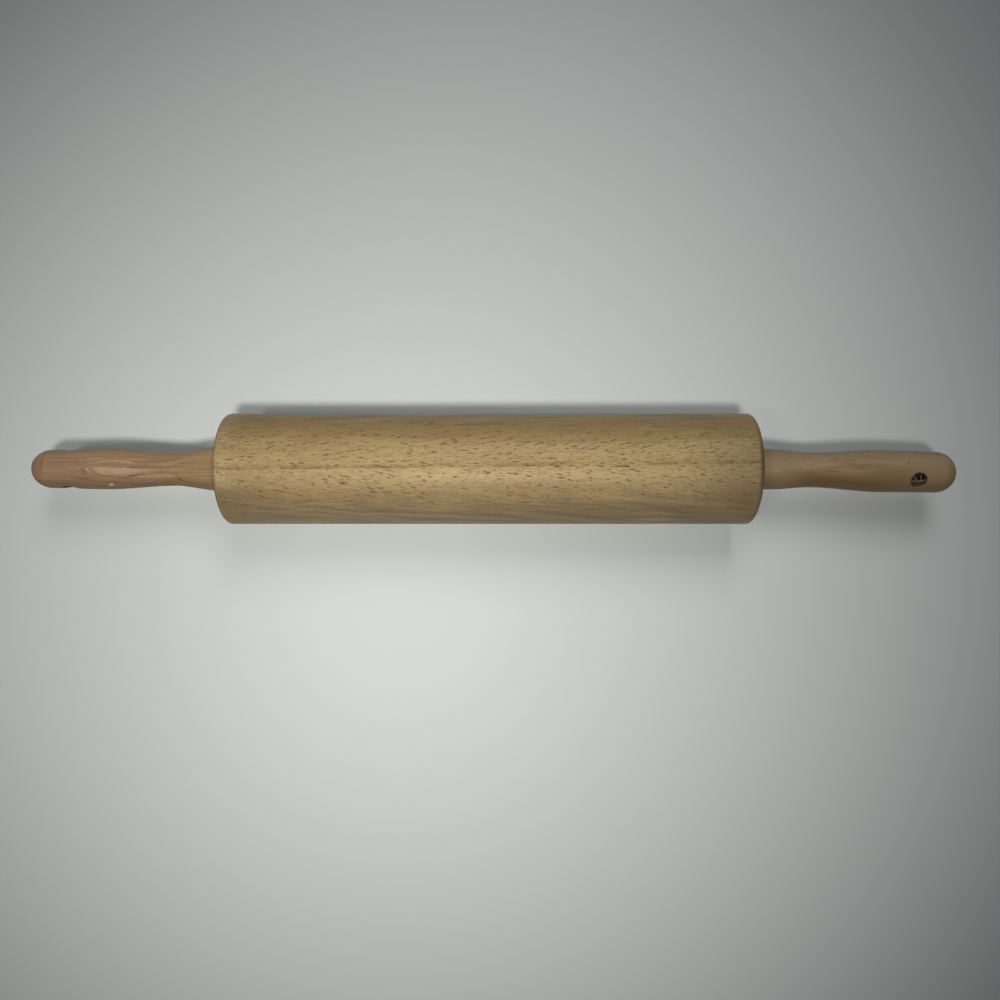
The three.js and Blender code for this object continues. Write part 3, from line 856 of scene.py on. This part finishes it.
def make_torn_fibres():
    """Strands of wood that the drill left across the right handle's hanging hole, rooted in its wall."""
    sides, steps = 8, 16
    sag_mm, thinnest, ripple, flatness = 0.4, 0.6, 3.3, 0.55
    strands = [  # start, bend and end across the hole, depth below its mouth and half width, in millimetres
        ((-4.05, -0.5), (-0.3, -2.0), (4.05, 0.2), 1.0, 0.4),
        ((-3.2, 2.5), (-1.7, 1.2), (-0.2, -0.9), 1.1, 0.3),
        ((1.8, -0.5), (1.5, 1.6), (1.0, 3.9), 1.7, 0.28),
    ]
    local = HandleFrame(RIGHT_HANDLE)
    mouth = handle_radius(RIGHT_HANDLE.hole_at, RIGHT_HANDLE)
    verts, faces = [], []
    for start, bend, end, depth, width in strands:
        start, bend, end = Vector(start) * MM, Vector(bend) * MM, Vector(end) * MM
        rings = []
        for step in range(steps + 1):
            s = step / steps
            one, two = start.lerp(bend, s), bend.lerp(end, s)
            middle, direction = one.lerp(two, s), (two - one).normalized()
            beside = Vector((-direction.y, direction.x))
            height = mouth - (depth + sag_mm * math.sin(math.pi * s)) * MM
            half = width * (thinnest + (1 - thinnest) * abs(math.cos(ripple * s + depth))) * MM
            ring = []
            for k in range(sides):
                angle = 2 * math.pi * k / sides
                spot = middle + beside * half * math.cos(angle)
                up = height + flatness * half * math.sin(angle)
                ring.append(len(verts))
                verts.append(local.place(RIGHT_HANDLE.hole_at + spot.x, spot.y, up))
            rings.append(ring)
        faces += joined(rings) + [rings[0], rings[-1]]
    make_object("hole_torn_fibres", verts, faces, torn_fibre(), "handles_and_axle")


def make_axle(steel):
    """The rod through the barrel, with knurled ends that are glued into the handles."""
    segments, step, taper = 8 * KNURL_RIDGES, 5 * MM, 0.4 * MM
    knurl_end = ROD_TIP - KNURL_SETBACK
    knurl_start = knurl_end - KNURL_LENGTH
    half = [(x, ROD_RADIUS) for x in even(0, knurl_start, step)]
    half += [(knurl_start + taper, ROD_RADIUS), (knurl_end - taper, ROD_RADIUS), (knurl_end, ROD_RADIUS)]
    half += [(ROD_TIP - ROD_CHAMFER, ROD_RADIUS), (ROD_TIP, ROD_RADIUS - ROD_CHAMFER), (ROD_TIP, 0.0)]
    profile = [(-x, r) for x, r in reversed(half)] + [(0.0, ROD_RADIUS)] + half

    def knurl(x, radius, angle):
        """Sharp ridges along the rod, with a flat root between them."""
        if not knurl_start < abs(x) < knurl_end:
            return 0.0
        from_ridge = abs((angle * KNURL_RIDGES / math.pi + 1) % 2 - 1)
        return max(0.0, KNURL_HEIGHT - (KNURL_HEIGHT + KNURL_ROOT) * from_ridge)

    verts, faces = turned(profile, segments, relief=knurl)
    name, body, node = "steel_axle", "handles_and_axle", "axle_rod"
    make_object(name, verts, faces, steel, body, node, HARDWARE_SHARP)


def bushing_profile():
    """(x, radius) points of a bushing, from its flange's outer face at 0 to its sleeve's inner end."""
    c = BUSHING_CHAMFER
    end = -FLANGE_THICKNESS - SLEEVE_LENGTH
    pocket = RUNNING_BORE + BUSHING_POCKET
    land_out = -c - BUSHING_LAND
    land_in = end + c + BUSHING_LAND
    return [
        (end + c, RUNNING_BORE), (end, RUNNING_BORE + c), (end, SLEEVE_RADIUS - c), (end + c, SLEEVE_RADIUS),
        (end + 2 * c, SLEEVE_RADIUS), (-FLANGE_THICKNESS, SLEEVE_RADIUS), (-FLANGE_THICKNESS, FLANGE_RADIUS),
        (-c, FLANGE_RADIUS), (0.0, FLANGE_RADIUS - c), (0.0, RUNNING_BORE + c), (-c, RUNNING_BORE),
        (land_out, RUNNING_BORE), (land_out - BUSHING_POCKET, pocket), (land_in + BUSHING_POCKET, pocket),
        (land_in, RUNNING_BORE),
    ]


def crush_ribs(outward):
    """The relief of one end's bushing: ribs along its sleeve that bite into the barrel."""
    rib_start = -FLANGE_THICKNESS - SLEEVE_LENGTH + 1.5 * BUSHING_CHAMFER

    def relief(x, radius, angle):
        depth = outward * (x - BARREL_MIDDLE) - FLANGE_FACE
        if radius != SLEEVE_RADIUS or depth < rib_start:
            return 0.0
        turn = (angle * CRUSH_RIBS / (2 * math.pi)) % 1
        away = min(turn, 1 - turn) * 2 * math.pi / CRUSH_RIBS * radius
        return CRUSH_RIB_HEIGHT * max(0.0, 1 - away / (CRUSH_RIB_WIDTH / 2))

    return relief


def make_bushings(plastic):
    """Flanged sleeves in the barrel's ends, which run on the rod."""
    segments = 144
    for side, outward in (("left", -1), ("right", 1)):
        placed = [(BARREL_MIDDLE + outward * (FLANGE_FACE + x), r) for x, r in bushing_profile()]
        verts, faces = turned(placed, segments, closed=True, relief=crush_ribs(outward))
        name, node = f"{side}_nylon_bushing", f"{side}_bushing"
        make_object(name, verts, faces, plastic, "roller", node, HARDWARE_SHARP)


def make_washers(steel):
    """Loose washers on the rod, between the bushings and the handles."""
    segments, thickness, chamfer = 96, WASHER_THICKNESS, WASHER_CHAMFER
    edge = WASHER_RADIUS - chamfer
    profile = [(0.0, RUNNING_BORE), (0.0, edge), (chamfer, WASHER_RADIUS)]
    profile += [(thickness - chamfer, WASHER_RADIUS), (thickness, edge), (thickness, RUNNING_BORE)]
    for side, outward in (("left", -1), ("right", 1)):
        placed = [(BARREL_MIDDLE + outward * (WASHER_FACE + x), r) for x, r in profile]
        verts, faces = turned(placed, segments, closed=True)
        name, node = f"{side}_steel_washer", f"{side}_washer"
        make_object(name, verts, faces, steel, "washers", node, HARDWARE_SHARP)


bpy.context.scene.view_settings.view_transform = "Standard"
make_camera()
make_lights()
make_floor()
steel, plastic = zinc_steel(), nylon()
make_barrel()
make_handles()
make_torn_fibres()
make_axle(steel)
make_bushings(plastic)
make_washers(steel)
